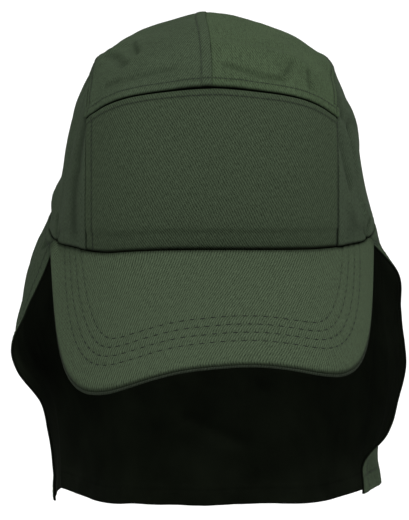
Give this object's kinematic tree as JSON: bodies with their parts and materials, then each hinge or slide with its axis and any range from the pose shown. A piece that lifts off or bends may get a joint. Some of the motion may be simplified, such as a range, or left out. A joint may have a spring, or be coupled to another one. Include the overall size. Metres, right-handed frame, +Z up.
{
  "type": "legionnaire cap",
  "caption": "Cloth sun cap with a curved stitched peak, a panelled crown and a long flap that hangs over the ears and neck.",
  "frame": {"origin": "centre of the head opening, level with the crown's rim at the sides", "axes": "+Z up through the top of the crown, -Y forward over the peak, +X to the wearer's left"},
  "size_m": [0.2081, 0.2514, 0.3026],
  "materials": {
    "crown_drill": "bottle-green cotton drill, matt, with a fine diagonal rib",
    "peak_drill": "bottle-green cotton drill laid over a stiff core, matt",
    "peak_under_drill": "bottle-green cotton drill, matt",
    "flap_drill": "bottle-green cotton drill, matt, unlined",
    "band_twill": "dark cotton twill tape, matt"
  },
  "bodies": {
    "root": {"front_panel": "crown_drill", "top_panel_left": "crown_drill", "top_panel_right": "crown_drill", "side_panel_left": "crown_drill", "side_panel_right": "crown_drill", "peak_top": "peak_drill", "peak_under": "peak_under_drill", "neck_flap": "flap_drill", "inside_band": "band_twill"}
  },
  "joints": []
}
